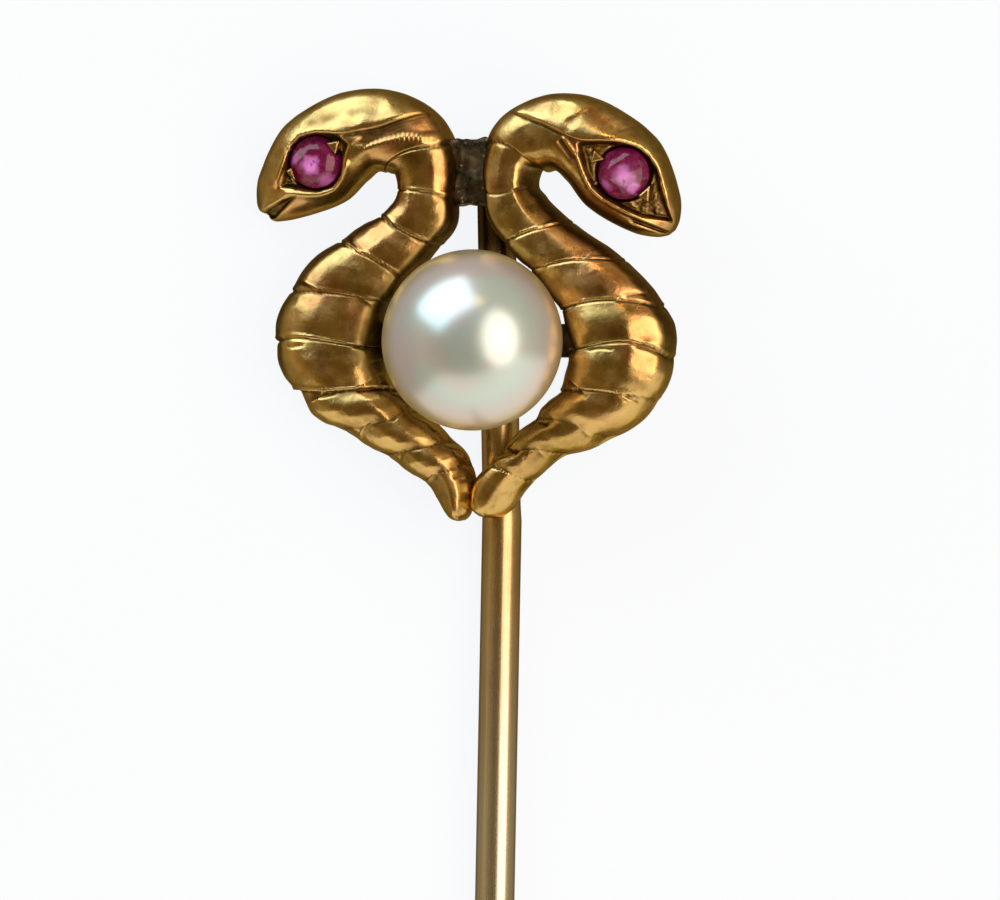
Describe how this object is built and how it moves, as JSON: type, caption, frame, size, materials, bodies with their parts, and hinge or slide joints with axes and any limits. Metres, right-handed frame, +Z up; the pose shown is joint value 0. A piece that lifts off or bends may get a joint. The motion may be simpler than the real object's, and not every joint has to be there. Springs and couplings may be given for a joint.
{
  "type": "stick pin",
  "caption": "Gold stick pin: facing serpents with ruby eyes curl around a round pearl, on a long pointed stem that passes through cloth.",
  "frame": {"origin": "on the stem's axis, where the stem leaves the tails of the serpents; the surface that the pin lies on is 0.6 mm below it", "axes": "+Y runs along the stem towards the serpents' heads and -Y towards the point; +Z is up from the surface that the pin lies on, and the face of the head looks up, rolled 9.8 degrees to the left about the stem"},
  "size_m": [0.013, 0.0622, 0.0068],
  "materials": {
    "gold": "worn polished yellow gold with dark tarnish in its grooves and a rosier stem",
    "pearl": "cream pearl with soft green and pink lustre",
    "ruby": "cut purplish red stone with small inclusions"
  },
  "bodies": {
    "root": {"serpent_pin": "gold", "pearl": "pearl", "ruby_left": "ruby", "ruby_right": "ruby"}
  },
  "joints": []
}
